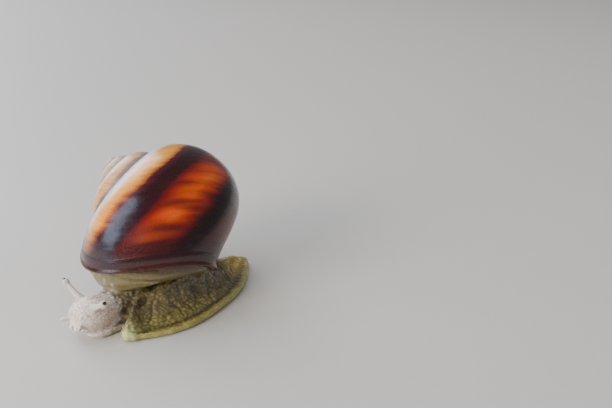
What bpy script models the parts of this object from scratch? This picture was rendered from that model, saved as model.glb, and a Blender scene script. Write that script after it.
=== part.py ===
"""A banded edible snail at life size, drawn half in under its shell on a flat broad foot.

All sizes are millimetres in the animal's own frame: it heads along -Y, its left is +X and up is +Z,
and the sole lies at Z = 0. STAND moves the finished animal so that the middle of its box is the origin.
"""
from math import cos, pi, radians, sin

import bmesh
import bpy
import numpy as np
from mathutils import Matrix, Vector

MM = 0.001
GAP = 0.3                       # clearance between two touching pieces
STAND = (5.55, -1.55, 0.0)      # from the animal's frame to the middle of its box

# The shell: a right-handed spiral that doubles its size each turn. Turn 0 is at the lip.
GROWTH = 2.0
SHELL_RADIUS = 24.3             # axis to the outside of the last whorl, at the lip
WHORL_HALF_WIDTH = 12.6
WHORL_HALF_HEIGHT = 14.0
WHORL_DROP = 24.3               # apex to the middle of the last whorl, along the axis
LIP_SLANT = radians(42)         # how far the top of the lip runs ahead of its middle
AXIS_CLEARANCE = 0.25           # radius of the closed-up navel
MOUTH_TURN = -0.022             # where the last whorl ends and the lip begins
END_GAP = 0.012                 # clearance between two whorls' ends, as a share of a turn
WHORL_POINTS = (19, 7)          # round a whorl's outside, and along its seam

# How the shell sits on the back: its tilts, and the place of a point 0.8 down its axis.
SHELL_TILT = radians(38.4)      # lifts the apex, on the animal's right
SHELL_YAW = radians(2.2)
SHELL_ROLL = radians(3.8)
SHELL_PLACE = (-8.4, 9.9, 16.7)
SHELL_HOLD = 0.8 * WHORL_DROP

APEX_TOP = -1.05                # height of the very tip, along the axis
APEX_CLEARANCE = 0.04

LIP_LENGTH = 1.9                # along the growth
LIP_THICKNESS = 1.1
LIP_FLARE = 0.5

COLLAR_DEPTH = 4.2              # how far the mantle's collar bulges out of the shell
COLLAR_HANG = 3.2               # how much further it hangs down in front
COLLAR_WIDTH = 0.87             # share of the mouth's width that the collar takes

# The foot: an outline struck from a middle line, front to tail.
FOOT_LINE_FRONT = (-1.6, -9.2)
FOOT_LINE_TAIL = (3.0, 21.0)
FOOT_REACH_FRONT = 10.4
FOOT_REACH_LEFT = 11.4
FOOT_REACH_RIGHT = 11.6
FOOT_REACH_TAIL = 6.4
FOOT_HEIGHT_FRONT = 3.4
FOOT_HEIGHT_MIDDLE = 11.0
FOOT_HEIGHT_TAIL = 3.4
FOOT_MARGIN = 1.5               # height of the rounded margin
FOOT_CUTS_Y = (-7.0, 11.0)
FOOT_POINTS = 48                # round the outline

# Swellings of the foot's margin: angle round the foot from straight ahead, width, reach.
HEAD_LOBE = (radians(-26), radians(17), 3.0)
SIDE_LOBE = (radians(26), radians(8), 1.0)
NOTCH = (radians(8), radians(8), -5.6)
LEFT_SWELL = (radians(60), radians(25), 2.3)
LOBE_LIFT = 1.3                 # how much the side lobe curls up

# Neck and head: a bent tapering body, given where its section changes. x, y, z, half width, half height.
NECK_AND_HEAD = (
    (-4.6, -3.0, 5.2, 5.0, 3.8),
    (-5.0, -9.0, 4.8, 4.2, 3.4),
    (-5.6, -13.0, 4.5, 3.8, 3.0),
    (-6.0, -15.8, 4.4, 4.1, 3.4),
    (-6.4, -18.5, 4.4, 4.4, 3.75),
    (-6.8, -20.7, 4.25, 4.0, 3.4),
    (-7.1, -22.2, 4.1, 2.6, 2.3),
)
NECK_SHARE = 0.47               # where the neck ends and the head begins

# Feelers and mouth, from the middle of the head: ahead, to the side, up.
HEAD_MIDDLE = (-6.35, -18.8, 4.55)
HEAD_AHEAD = (-0.25, -0.97, 0.0)
LONG_FEELER_ROOT = (0.0, 2.3, 2.3)
LONG_FEELER_AIM = (0.1, 0.85, 0.5)
LONG_FEELER_LENGTH = 5.8
LONG_FEELER_RADII = (1.15, 0.85, 0.68, 0.6, 0.58, 0.62)
EYE_KNOB_RADIUS = 0.86
EYE_RADIUS = 0.4
EYE_GAP = 0.06                  # the eye is too small for the full clearance
SHORT_FEELER_ROOT = (2.6, 1.7, -0.5)
SHORT_FEELER_AIM = (0.75, 0.62, -0.1)
SHORT_FEELER_LENGTH = 2.7
SHORT_FEELER_RADII = (0.62, 0.5, 0.42, 0.44, 0.3)
MOUTH_ROOT = (3.3, 0.0, -1.9)
MOUTH_SIZE = (1.5, 0.9, 1.0)    # half width, half depth, half height


# ---------------------------------------------------------------- materials and meshes

def material(name, colour, roughness, metallic=0.0):
    made = bpy.data.materials.new(name)
    made.use_nodes = True
    shader = made.node_tree.nodes["Principled BSDF"]
    shader.inputs["Base Color"].default_value = (*colour, 1.0)
    shader.inputs["Roughness"].default_value = roughness
    shader.inputs["Metallic"].default_value = metallic
    return made


def mesh_of(name, shape):
    """Ends a bmesh in millimetres as a mesh of flat triangles in metres, facing out."""
    bmesh.ops.recalc_face_normals(shape, faces=shape.faces)
    bmesh.ops.triangulate(shape, faces=shape.faces)
    bmesh.ops.scale(shape, vec=(MM, MM, MM), verts=shape.verts)
    mesh = bpy.data.meshes.new(name)
    shape.to_mesh(mesh)
    shape.free()
    mesh.shade_smooth()
    mesh.set_sharp_from_angle(angle=radians(40))
    return mesh


def loft(rings, corner=None):
    """Skins closed rings of equal count and closes both ends, with a fan or with a ladder up to a corner."""
    shape = bmesh.new()
    rows = [[shape.verts.new(point) for point in ring] for ring in rings]
    count = len(rows[0])
    for low, high in zip(rows, rows[1:]):
        for i in range(count):
            j = (i + 1) % count
            shape.faces.new((low[i], low[j], high[j], high[i]))
    for row in (rows[0], rows[-1]):
        if corner is not None:
            ladder(shape, row, corner)
            continue
        middle = shape.verts.new(sum((v.co for v in row), Vector()) / count)
        for i in range(count):
            shape.faces.new((row[i], row[(i + 1) % count], middle))
    return shape


def ladder(shape, ring, corner):
    """Closes a crescent with strips between its two sides, which both run from point 0 to the corner."""
    count = len(ring)
    near, far = 0, count
    while near < corner or far > corner:
        sides = ring[near], ring[far % count]
        near_is_behind = (near + 1) / corner <= (count - far + 1) / (count - corner)
        if near < corner and (far == corner or near_is_behind):
            near += 1
            following = ring[near]
        else:
            far -= 1
            following = ring[far]
        if len({*sides, following}) == 3:
            shape.faces.new((sides[0], following, sides[1]))


def add_node(name, shape, finish):
    mesh = mesh_of(name, shape)
    mesh.materials.append(finish)
    node = bpy.data.objects.new(name, mesh)
    bpy.context.collection.objects.link(node)
    node.parent = STAND_POINT
    return node


def grown(node, by=GAP):
    """A hidden copy of a node, larger all round, for cutting its neighbours clear of it."""
    shape = bmesh.new()
    shape.from_mesh(node.data)
    bmesh.ops.scale(shape, vec=(1 / MM, 1 / MM, 1 / MM), verts=shape.verts)
    swell(shape, by)
    return guide(node.name + "_clearance", shape)


def swell(shape, by):
    """Moves every point of a closed shape out along its own normal."""
    shape.normal_update()
    moves = [v.normal * (by * min(v.calc_shell_factor(), 1.6)) for v in shape.verts]
    for vertex, move in zip(shape.verts, moves):
        vertex.co += move


def guide(name, shape):
    """A hidden solid that only cuts others."""
    mesh = mesh_of(name, shape)
    cutter = bpy.data.objects.new(name, mesh)
    bpy.context.collection.objects.link(cutter)
    cutter.parent = STAND_POINT
    cutter.hide_render = True
    cutter.display_type = "WIRE"
    return cutter


def cut_clear(node, *cutters):
    for cutter in cutters:
        cut = node.modifiers.new("clear_of_" + cutter.name, "BOOLEAN")
        cut.operation = "DIFFERENCE"
        cut.solver = "EXACT"
        cut.object = cutter


# ---------------------------------------------------------------- shell

def whorl_curve(phi):
    """Outline of the whorl in a plane through the axis, at the lip's size. 0 is outermost, pi/2 is up."""
    lean = GROWTH ** (-LIP_SLANT / (2 * pi) * np.sin(phi))
    rho = SHELL_RADIUS - WHORL_HALF_WIDTH + WHORL_HALF_WIDTH * np.cos(phi)
    height = -WHORL_DROP + WHORL_HALF_HEIGHT * np.sin(phi)
    return np.stack([rho * lean, height * lean], axis=-1)


def reach(points, centre, curve):
    """How far points lie out from a centre, less the curve's own reach in the same direction."""
    away = points - centre
    angle = np.arctan2(away[:, 1], away[:, 0])
    curve_away = curve - centre
    curve_angle = np.arctan2(curve_away[:, 1], curve_away[:, 0])
    curve_reach = np.hypot(curve_away[:, 0], curve_away[:, 1])
    return np.hypot(away[:, 0], away[:, 1]) - np.interp(angle, curve_angle, curve_reach, period=2 * pi)


def thin_out(points, count):
    """The given number of points, evenly spaced along a line of many."""
    steps = np.linalg.norm(np.diff(points[:, :2], axis=0), axis=1)
    along = np.concatenate([[0.0], np.cumsum(steps)])
    wanted = np.linspace(0.0, along[-1], count)
    return np.stack([np.interp(wanted, along, points[:, i]) for i in range(points.shape[1])], axis=-1)


def whorl_section(gap, outer_count, inner_count):
    """Closed section of a whorl that sits over the one before: rho, z and the lip's lean, as one loop."""
    phi = np.linspace(0.75 * pi, -1.25 * pi, 1441)
    curve = whorl_curve(phi)
    before = curve / GROWTH
    middle = whorl_curve(np.array([0.0, pi])).mean(axis=0)
    outside = reach(curve, middle / GROWTH, before) > gap
    outer = np.column_stack([curve, np.sin(phi)])[outside]
    hub = middle / GROWTH
    wider = hub + (before - hub) * (1 + gap / np.linalg.norm(before - hub, axis=1))[:, None]
    covered = wider[reach(wider, middle, curve) < 0]
    lean = np.linspace(outer[0, 2], outer[-1, 2], len(covered))
    inner = np.column_stack([covered, lean])
    loop = np.concatenate([thin_out(outer, outer_count), thin_out(inner, inner_count + 2)[-2:0:-1]])
    return loop


def spiral(turn, section, clearance=AXIS_CLEARANCE):
    """Places a section at a turn of the spiral, in the animal's frame."""
    turns = turn + LIP_SLANT / (2 * pi) * section[:, 2]
    size = GROWTH ** turns
    rho = np.maximum(size * section[:, 0], clearance)
    angle = -2 * pi * turns
    points = np.stack([rho * np.cos(angle), rho * np.sin(angle), size * section[:, 1] + SHELL_HOLD], axis=-1)
    return points @ SHELL_AXES.T + np.array(SHELL_PLACE)


def shell_axes():
    """Turns the shell's own frame, apex along +Z and lip at +X, to its seat on the animal."""
    lay_down = Matrix(((0, 0, -1), (-1, 0, 0), (0, 1, 0)))
    tilt = Matrix.Rotation(SHELL_TILT, 3, "Y")
    yaw = Matrix.Rotation(SHELL_YAW, 3, "Z")
    roll = Matrix.Rotation(SHELL_ROLL, 3, "X")
    return np.array(roll @ yaw @ tilt @ lay_down)


def seam_gap(turn):
    """Clearance at the seam, less where the whorls are small, as a share of the whorl's size."""
    size = GROWTH ** turn
    return GAP * min(1.0, 4 * size) / size


def whorl_shape(first, last, rows):
    turns = np.linspace(first, last, rows)
    rings = [spiral(turn, whorl_section(seam_gap(turn), *WHORL_POINTS)) for turn in turns]
    return loft(rings, corner=WHORL_POINTS[0] - 1)


def mouth_clearance():
    """The last stretch of the last whorl, larger all round, with the same face across the shell's mouth."""
    shape = whorl_shape(MOUTH_TURN - 0.22, MOUTH_TURN, 9)
    bmesh.ops.recalc_face_normals(shape, faces=shape.faces)
    swell(shape, GAP)
    return guide("seat_mouth", shape)


def apex(name, last, rows, finish):
    """The first whorl, a small button: one turn of outlines that all meet on the axis, top and bottom."""
    phi = np.linspace(radians(104), radians(-150), 12)
    section = np.column_stack([whorl_curve(phi), np.sin(phi)])
    outlines = [spiral(turn, section, APEX_CLEARANCE) for turn in np.linspace(last - 1, last, rows)]
    heights = (APEX_TOP, float(whorl_curve(phi)[-1, 1]) * GROWTH ** (last - 0.5))
    top, bottom = (spiral(0.0, np.array([[0.0, height, 0.0]]), 0.0)[0] for height in heights)
    shape = bmesh.new()
    grid = [[shape.verts.new(point) for point in outline] for outline in outlines]
    poles = shape.verts.new(top), shape.verts.new(bottom)
    for row, following in zip(grid, grid[1:] + grid[:1]):
        shape.faces.new((poles[0], row[0], following[0]))
        shape.faces.new((poles[1], following[-1], row[-1]))
        for i in range(len(row) - 1):
            shape.faces.new((row[i], row[i + 1], following[i + 1], following[i]))
    return add_node(name, shape, finish)


def half_whorl_clearance(name, first, last):
    """Half a turn of the last whorl, whole and larger all round: two of them make the flesh's seat."""
    curve = whorl_curve(np.linspace(0, 2 * pi, 36, endpoint=False))
    middle = curve.mean(axis=0)
    away = curve - middle
    rings = []
    for turn in np.linspace(first, last, 21):
        larger = 1 + GAP / GROWTH ** turn / np.linalg.norm(away, axis=1)[:, None]
        lean = np.clip((curve[:, 1] - middle[1]) / WHORL_HALF_HEIGHT, -1, 1)
        rings.append(spiral(turn, np.column_stack([middle + away * larger, lean])))
    return guide(name, loft(rings))


def mouth_frame(ring):
    """Middle of the shell's mouth and the direction that the animal comes out of it."""
    middle = ring.mean(axis=0)
    normal = np.cross(ring - middle, np.roll(ring, -1, axis=0) - middle).sum(axis=0)
    normal /= np.linalg.norm(normal)
    return middle, normal if normal[2] < 0 else -normal


def lip(mouth, outer_count, finish):
    """A thick rounded rim along the free edge of the mouth, from the seam round to the navel."""
    middle, out = mouth_frame(mouth)
    profile = ((0.0, GAP), (0.3 * LIP_FLARE, 0.45 * LIP_LENGTH), (LIP_FLARE, 0.8 * LIP_LENGTH),
               (0.4 * LIP_FLARE, LIP_LENGTH), (-0.6 * LIP_THICKNESS, 0.9 * LIP_LENGTH),
               (-LIP_THICKNESS, 0.5 * LIP_LENGTH), (-LIP_THICKNESS, GAP))
    rings = []
    for point in mouth[1:outer_count - 5]:
        away = point - middle
        away -= out * away.dot(out)
        away /= np.linalg.norm(away)
        rings.append([point + away * side + out * ahead for side, ahead in profile])
    return add_node("shell_lip", loft(rings, corner=3), finish)


# ---------------------------------------------------------------- flesh

def collar(mouth, finish):
    """The mantle's swollen edge, which fills the shell's mouth and hangs a little out of it."""
    out = mouth_frame(mouth)[1]
    phi = np.linspace(0, 2 * pi, 36, endpoint=False)
    mouth = spiral(MOUTH_TURN, np.column_stack([whorl_curve(phi), np.sin(phi)]))
    middle = mouth.mean(axis=0)
    steps = ((1.0, 0.0), (1.01, 0.35), (1.0, 0.65), (0.93, 0.88), (0.76, 1.0), (0.42, 1.0))
    ahead = (middle[1] - mouth[:, 1]) / WHORL_HALF_HEIGHT
    depth = COLLAR_DEPTH + COLLAR_HANG * np.clip(ahead, 0, 1)
    rings = []
    for share, drop in steps:
        ring = middle + (mouth - middle) * (COLLAR_WIDTH * share)
        rings.append(ring + np.outer(GAP + depth * drop, out))
    return add_node("mantle_collar", loft(rings), finish)


def swelling(angle, lobe):
    at, width, size = lobe
    turn = (angle - at + pi) % (2 * pi) - pi
    return size * np.exp(-(turn / width) ** 2)


def foot_outline(count):
    """Angles round the foot, with its middle line and its reach at each: 0 ahead, pi/2 left, pi behind."""
    share = np.arange(count) / count
    angle = 2 * pi * share - 0.5 * np.sin(2 * pi * share)
    along = (1 - np.cos(angle)) / 2
    front, tail = np.array(FOOT_LINE_FRONT), np.array(FOOT_LINE_TAIL)
    line = front + along[:, None] * (tail - front)
    side = np.where(np.sin(angle) > 0, FOOT_REACH_LEFT, FOOT_REACH_RIGHT)
    ahead = FOOT_REACH_FRONT + (side - FOOT_REACH_FRONT) * np.sin(angle) ** 2
    behind = FOOT_REACH_TAIL + (side - FOOT_REACH_TAIL) * np.sin(angle) ** 4
    span = np.where(np.cos(angle) > 0, ahead, behind)
    for lobe in (HEAD_LOBE, SIDE_LOBE, NOTCH, LEFT_SWELL):
        span = span + swelling(angle, lobe)
    return angle, along, line, span[:, None] * np.stack([np.sin(angle), -np.cos(angle)], axis=-1)


def foot_shape(count):
    """The whole foot: a flat sole, a rounded margin, a groove above it and sides that rise to the back."""
    angle, along, line, away = foot_outline(count)
    ends = FOOT_HEIGHT_FRONT + (FOOT_HEIGHT_TAIL - FOOT_HEIGHT_FRONT) * along
    crown = ends + (FOOT_HEIGHT_MIDDLE - ends) * np.exp(-((along - 0.36) / 0.24) ** 2)
    curl = 1 + LOBE_LIFT * swelling(angle, SIDE_LOBE)
    margin = ((0.95, 0.0), (1.0, 0.3), (0.995, 0.7), (0.955, 0.97), (0.90, 1.0))
    side = ((0.84, 0.07), (0.74, 0.15), (0.63, 0.26), (0.54, 0.48), (0.45, 0.8), (0.28, 1.0))
    rings = []
    for share, height in margin:
        rings.append(np.column_stack([line + share * away, FOOT_MARGIN * height * curl]))
    for share, height in side:
        rise = np.maximum(crown - FOOT_MARGIN, 0) * height
        fall = 1 - (1 - share) ** 2
        rings.append(np.column_stack([line + share * away, FOOT_MARGIN * (1 + (curl - 1) * fall) + rise]))
    return loft(rings)


def foot_length(name, low_y, high_y, finish):
    """One length of the foot, cut from the whole between two cross planes."""
    shape = foot_shape(FOOT_POINTS)
    for at, facing in ((low_y, -1), (high_y, 1)):
        if at is None:
            continue
        everything = shape.verts[:] + shape.edges[:] + shape.faces[:]
        cut = bmesh.ops.bisect_plane(shape, geom=everything, plane_co=(0, at - facing * GAP / 2, 0),
                                     plane_no=(0, facing, 0), clear_outer=True, dist=1e-4)
        edges = [e for e in cut["geom_cut"] if isinstance(e, bmesh.types.BMEdge)]
        bmesh.ops.edgeloop_fill(shape, edges=edges)
    return add_node(name, shape, finish)


def body_rings(stations, around, first, last, rows):
    """Rings along a bent tapering body between two shares of its length."""
    stations = np.array(stations)
    knots = np.linspace(0.0, 1.0, len(stations))
    rings = []
    for share in np.linspace(first, last, rows):
        x, y, z, wide, high = (smooth(share, knots, stations[:, i]) for i in range(5))
        before = np.array([smooth(share - 0.01, knots, stations[:, i]) for i in range(3)])
        after = np.array([smooth(share + 0.01, knots, stations[:, i]) for i in range(3)])
        ahead = Vector(after - before).normalized()
        across = ahead.cross(Vector((0, 0, 1))).normalized()
        above = across.cross(ahead)
        turn = np.linspace(0, 2 * pi, around, endpoint=False)
        rings.append([Vector((x, y, z)) + across * (wide * cos(t)) + above * (high * sin(t)) for t in turn])
    return rings


def smooth(at, knots, values):
    """Reads a value between knots with a curve that has no corners."""
    slopes = np.gradient(values, knots)
    i = int(np.clip(np.searchsorted(knots, at) - 1, 0, len(knots) - 2))
    step = knots[i + 1] - knots[i]
    t = (at - knots[i]) / step
    return ((2 * t ** 3 - 3 * t ** 2 + 1) * values[i] + (t ** 3 - 2 * t ** 2 + t) * step * slopes[i]
            + (3 * t ** 2 - 2 * t ** 3) * values[i + 1] + (t ** 3 - t ** 2) * step * slopes[i + 1])


def on_head(ahead, side, up, left):
    """A direction or an offset from the head's own axes; left is 1 or -1."""
    forward = Vector(HEAD_AHEAD)
    leftward = Vector((0, 0, 1)).cross(forward) * left
    return forward * ahead + leftward * side + Vector((0, 0, up))


def feeler_rings(root, aim, length, radii, sides, first, last, rows):
    """Rings along part of a straight soft stalk that swells a little at its end."""
    aim = aim.normalized()
    across = aim.orthogonal().normalized()
    above = aim.cross(across)
    knots = np.linspace(0, 1, len(radii))
    rings = []
    for share in np.linspace(first, last, rows):
        radius = float(smooth(share, knots, np.array(radii)))
        turn = np.linspace(0, 2 * pi, sides, endpoint=False)
        middle = root + aim * (length * share)
        rings.append([middle + across * (radius * cos(t)) + above * (radius * sin(t)) for t in turn])
    return rings


def ball(middle, size, around, rows):
    """A closed ellipsoid, given its half sizes along X, Y and Z."""
    shape = bmesh.new()
    bmesh.ops.create_uvsphere(shape, u_segments=around, v_segments=rows, radius=1.0)
    bmesh.ops.scale(shape, vec=size, verts=shape.verts)
    bmesh.ops.translate(shape, vec=middle, verts=shape.verts)
    return shape


def long_feeler(side, left):
    """An upper feeler in two lengths, the stalk and the knob at its end, with the eye set in the knob."""
    root = Vector(HEAD_MIDDLE) + on_head(*LONG_FEELER_ROOT, left)
    aim = on_head(*LONG_FEELER_AIM, left).normalized()
    stalk_share = 1 - (EYE_KNOB_RADIUS + GAP / 2) / LONG_FEELER_LENGTH
    stalk = add_node("tentacle_upper_" + side, loft(feeler_rings(
        root, aim, LONG_FEELER_LENGTH, LONG_FEELER_RADII, 12, 0.0, stalk_share, 7)), skin)
    tip = root + aim * LONG_FEELER_LENGTH
    knob = add_node("tentacle_tip_" + side, ball(tip, (EYE_KNOB_RADIUS,) * 3, 10, 7), skin)
    eye_place = tip + (aim + Vector((0, 0, 0.45))).normalized() * (EYE_KNOB_RADIUS - 0.35 * EYE_RADIUS)
    eye = add_node("eye_" + side, ball(eye_place, (EYE_RADIUS,) * 3, 8, 6), eye_black)
    cut_clear(stalk, grown(head), grown(knob, EYE_GAP))
    cut_clear(knob, grown(eye, EYE_GAP))


def short_feeler(side, left):
    root = Vector(HEAD_MIDDLE) + on_head(*SHORT_FEELER_ROOT, left)
    rings = feeler_rings(root, on_head(*SHORT_FEELER_AIM, left), SHORT_FEELER_LENGTH, SHORT_FEELER_RADII,
                         10, 0.0, 1.0, 6)
    feeler = add_node("tentacle_lower_" + side, loft(rings), skin)
    cut_clear(feeler, grown(head))


# ---------------------------------------------------------------- the animal

for old in list(bpy.data.objects):
    bpy.data.objects.remove(old, do_unlink=True)

STAND_POINT = bpy.data.objects.new("stand_point", None)
STAND_POINT.location = Vector(STAND) * MM
bpy.context.collection.objects.link(STAND_POINT)
SHELL_AXES = shell_axes()

horn = material("banded_shell", (0.35, 0.08, 0.02), 0.25)
pale_horn = material("lip_enamel", (0.75, 0.62, 0.5), 0.3)
skin = material("olive_skin", (0.3, 0.27, 0.12), 0.4)
pale_skin = material("pale_skin", (0.75, 0.68, 0.62), 0.35)
eye_black = material("eye_black", (0.01, 0.01, 0.01), 0.1)

add_node("shell_body_whorl", whorl_shape(MOUTH_TURN - 1, MOUTH_TURN, 33), horn)
add_node("shell_penultimate_whorl", whorl_shape(MOUTH_TURN - 2, MOUTH_TURN - 1 - END_GAP, 20), horn)
add_node("shell_spire", whorl_shape(MOUTH_TURN - 3, MOUTH_TURN - 2 - END_GAP, 15), horn)
apex("shell_apex", MOUTH_TURN - 3 - END_GAP, 14, horn)
mouth_ring = spiral(MOUTH_TURN, whorl_section(GAP, 30, 10))
rim = lip(mouth_ring, 30, pale_horn)
mantle = collar(mouth_ring, skin)

neck = add_node("neck", loft(body_rings(NECK_AND_HEAD, 20, 0.0, NECK_SHARE - 0.008, 6)), skin)
head = add_node("head", loft(body_rings(NECK_AND_HEAD, 20, NECK_SHARE + 0.008, 1.0, 11)), pale_skin)
mouth_place = Vector(HEAD_MIDDLE) + on_head(*MOUTH_ROOT, 1)
lips = add_node("mouth_lips", ball(mouth_place, MOUTH_SIZE, 14, 8), pale_skin)
for side, left in (("left", 1), ("right", -1)):
    long_feeler(side, left)
    short_feeler(side, left)

foot_front = foot_length("foot_front", None, FOOT_CUTS_Y[0], skin)
foot_middle = foot_length("foot_middle", FOOT_CUTS_Y[0], FOOT_CUTS_Y[1], skin)
foot_tail = foot_length("foot_tail", FOOT_CUTS_Y[1], None, skin)

seats = (half_whorl_clearance("seat_old", MOUTH_TURN - 1, MOUTH_TURN - 0.49),
         half_whorl_clearance("seat_new", MOUTH_TURN - 0.51, MOUTH_TURN - 0.2), mouth_clearance())
lip_clearance = grown(rim)
mantle_clearance = grown(mantle)
neck_clearance = grown(neck)
head_clearance = grown(head)
lips_clearance = grown(lips)
cut_clear(mantle, *seats, lip_clearance)
cut_clear(neck, *seats, mantle_clearance)
cut_clear(head, mantle_clearance, lips_clearance)
cut_clear(foot_front, *seats, mantle_clearance, neck_clearance, head_clearance, lips_clearance)
cut_clear(foot_middle, *seats, mantle_clearance, neck_clearance, lip_clearance)
cut_clear(foot_tail, *seats)
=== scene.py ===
# %% [markdown]
# # A striped snail at life size
# This notebook finishes a land snail that sits half drawn in on its broad foot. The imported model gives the
# true sizes and places. On top of it come a shell grown by a formula, one skin over all the flesh, eyes,
# and then the studio that it is shown in. Everything is in metres, and sizes are written in millimetres.

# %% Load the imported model
from math import pi, radians

import bmesh
import bpy
import numpy as np
from mathutils import Euler, Matrix, Vector, noise
from mathutils.bvhtree import BVHTree


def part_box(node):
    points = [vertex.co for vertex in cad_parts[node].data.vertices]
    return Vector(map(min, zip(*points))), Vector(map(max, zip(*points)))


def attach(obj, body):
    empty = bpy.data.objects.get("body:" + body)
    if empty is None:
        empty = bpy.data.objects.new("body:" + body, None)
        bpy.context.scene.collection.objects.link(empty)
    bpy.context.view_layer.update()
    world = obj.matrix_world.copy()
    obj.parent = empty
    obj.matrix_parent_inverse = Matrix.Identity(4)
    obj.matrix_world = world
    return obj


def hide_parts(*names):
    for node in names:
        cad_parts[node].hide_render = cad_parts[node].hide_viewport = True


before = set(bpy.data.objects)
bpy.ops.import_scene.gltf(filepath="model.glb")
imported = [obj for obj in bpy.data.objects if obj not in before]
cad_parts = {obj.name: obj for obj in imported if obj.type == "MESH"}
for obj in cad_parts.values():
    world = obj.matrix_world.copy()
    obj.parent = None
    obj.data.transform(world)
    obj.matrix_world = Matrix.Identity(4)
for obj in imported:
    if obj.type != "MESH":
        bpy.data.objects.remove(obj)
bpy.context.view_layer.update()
MM = 0.001

# %% [markdown]
# ## Small helpers
# Every material and every Geometry Nodes tree below is made of nodes, so one function adds a node, sets its
# options and fills its sockets. Where many nodes follow one another, they are written as a table, one named
# step to a row. Colours are written as sRGB hex, as in any paint program, and turned to the linear values
# that Blender's sockets hold.

# %% Helpers for nodes
STEPS = {           # what a table's row may ask for besides a sum: the node, its sockets and its settings
    # what is read, its low and high, and the results at low and at high if they aren't 0 and 1
    "RANGE": ("ShaderNodeMapRange", (0, 1, 2, 3, 4), {}),
    "NOISE": ("ShaderNodeTexNoise", ("Vector", "Scale", "Detail", "Roughness"), {}),
    "VECTOR": ("ShaderNodeCombineXYZ", (0, 1, 2), {}),
    "SCALED": ("ShaderNodeVectorMath", (0, "Scale"), {"operation": "SCALE"}),
    "MOVED": ("ShaderNodeVectorMath", (0, 1), {"operation": "ADD"}),
    "AT LEAST": ("ShaderNodeVectorMath", (0, 1), {"operation": "MAXIMUM"}),
    # how much of the second colour, then the two colours
    "OVER": ("ShaderNodeMix", (0, 6, 7), {"data_type": "RGBA"}),
    "TIMES": ("ShaderNodeMix", (0, 6, 7), {"data_type": "RGBA", "blend_type": "MULTIPLY"}),
}


def colour(code):
    """An sRGB hex colour as linear red, green, blue and alpha."""
    shares = [int(code[i:i + 2], 16) / 255 for i in (1, 3, 5)]
    return (*(s / 12.92 if s <= 0.04045 else ((s + 0.055) / 1.055) ** 2.4 for s in shares), 1.0)


def per(size):
    """How many patterns of this size, in mm, fit in a metre."""
    return 1 / (size * MM)


def add(tree, kind, sockets=None, stops=(), **settings):
    """Adds a node with its settings and links, and returns its first output in use.

    A socket of another node is linked, and any other value is set. Stops are for a colour ramp.
    """
    node = tree.nodes.new(kind)
    for name, value in settings.items():
        setattr(node, name, value)
    for key, value in (sockets or {}).items():
        if isinstance(value, bpy.types.NodeSocket):
            tree.links.new(value, node.inputs[key])
        else:
            node.inputs[key].default_value = value
    for i, (place, code) in enumerate(stops):
        points = node.color_ramp.elements
        point = points[i] if i < 2 else points.new(place)
        point.position = place
        point.color = colour(code)
    return next((socket for socket in node.outputs if socket.enabled), node)


def work_out(tree, value, rows):
    """Adds a node for each row of a table, and keeps its output in value under the row's name.

    After the name comes an operation or one of the steps above, and then its terms, which are plain
    values or the names of outputs that value already holds.
    """
    for name, step, *terms in rows:
        a_sum = ("ShaderNodeMath", (0, 1, 2), {
            "operation": step.removesuffix(" CLAMPED"), "use_clamp": step.endswith(" CLAMPED")})
        kind, sockets, settings = STEPS.get(step, a_sum)
        terms = [value.get(term, term) for term in terms]
        value[name] = add(tree, kind, dict(zip(sockets, terms)), **settings)


print("middle grey as Blender's sockets hold it:", round(colour("#808080")[0], 3))

# %% [markdown]
# ## The shell's shape
# A snail adds shell only at its mouth, and always in the same proportion, so its tube is a logarithmic
# spiral: every turn is the one before it, doubled. That is a rule, so Geometry Nodes grow it: a flat grid
# is rolled up, its rows along the growth and its columns round the tube. Only the tube's section is
# drawn first. Where a whorl lies on the one before it, its section follows that whorl's surface.

# %% The shell's driving sizes
STAND = (5.55, -1.55, 0.0)              # from the animal's own frame to the model's origin
GROWTH = 2.0                            # each turn is this much larger than the one before
SHELL_RADIUS = 24.3                     # axis to the outside of the last whorl, at the lip
WHORL_HALF_WIDTH = 12.6
WHORL_HALF_HEIGHT = 14.0
WHORL_DROP = 24.3                       # apex to the middle of the last whorl, along the axis
LIP_SLANT = radians(42)                 # how far the top of the lip runs ahead of its middle
MOUTH_TURN = -0.022                     # where the whorl ends and the rim begins
SHELL_TILTS = (radians(38.4), radians(2.2), radians(3.8))   # about Y, then Z, then X
SHELL_HOLD = 0.8 * WHORL_DROP           # how far down the axis the point is that places the shell
SHELL_PLACE = (-8.4, 9.9, 16.7)         # and where that point lies on the animal
WHORL_OVERLAP = 0.03                    # how deep a whorl sits in the one before it
OUTLINE_POINTS = 1441                   # one to each quarter of a degree
print("the whorl at the lip is", 2 * WHORL_HALF_WIDTH, "by", 2 * WHORL_HALF_HEIGHT, "mm")

# %% Draw the section
def whorl_outline(phi):
    """The whorl's outline beside the axis, in mm at the lip; 0 is outermost and 90 degrees is up."""
    lean = GROWTH ** (-LIP_SLANT / (2 * pi) * np.sin(phi))
    rho = SHELL_RADIUS - WHORL_HALF_WIDTH + WHORL_HALF_WIDTH * np.cos(phi)
    height = -WHORL_DROP + WHORL_HALF_HEIGHT * np.sin(phi)
    return np.stack([rho * lean, height * lean], axis=-1)


def reach_beyond(points, hub, outline):
    """How far points lie out from a hub, less the outline's own reach the same way."""
    away, outline_away = points - hub, outline - hub
    angle = np.arctan2(away[:, 1], away[:, 0])
    outline_angle = np.arctan2(outline_away[:, 1], outline_away[:, 0])
    outline_reach = np.interp(angle, outline_angle, np.hypot(*outline_away.T), period=2 * pi)
    return np.hypot(*away.T) - outline_reach


def evenly(points, count):
    """The given number of points, evenly spaced along a finely drawn line."""
    along = np.concatenate([[0.0], np.cumsum(np.linalg.norm(np.diff(points[:, :2], axis=0), axis=1))])
    wanted = np.linspace(0.0, along[-1], count)
    return np.stack([np.interp(wanted, along, column) for column in points.T], axis=-1)


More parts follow.
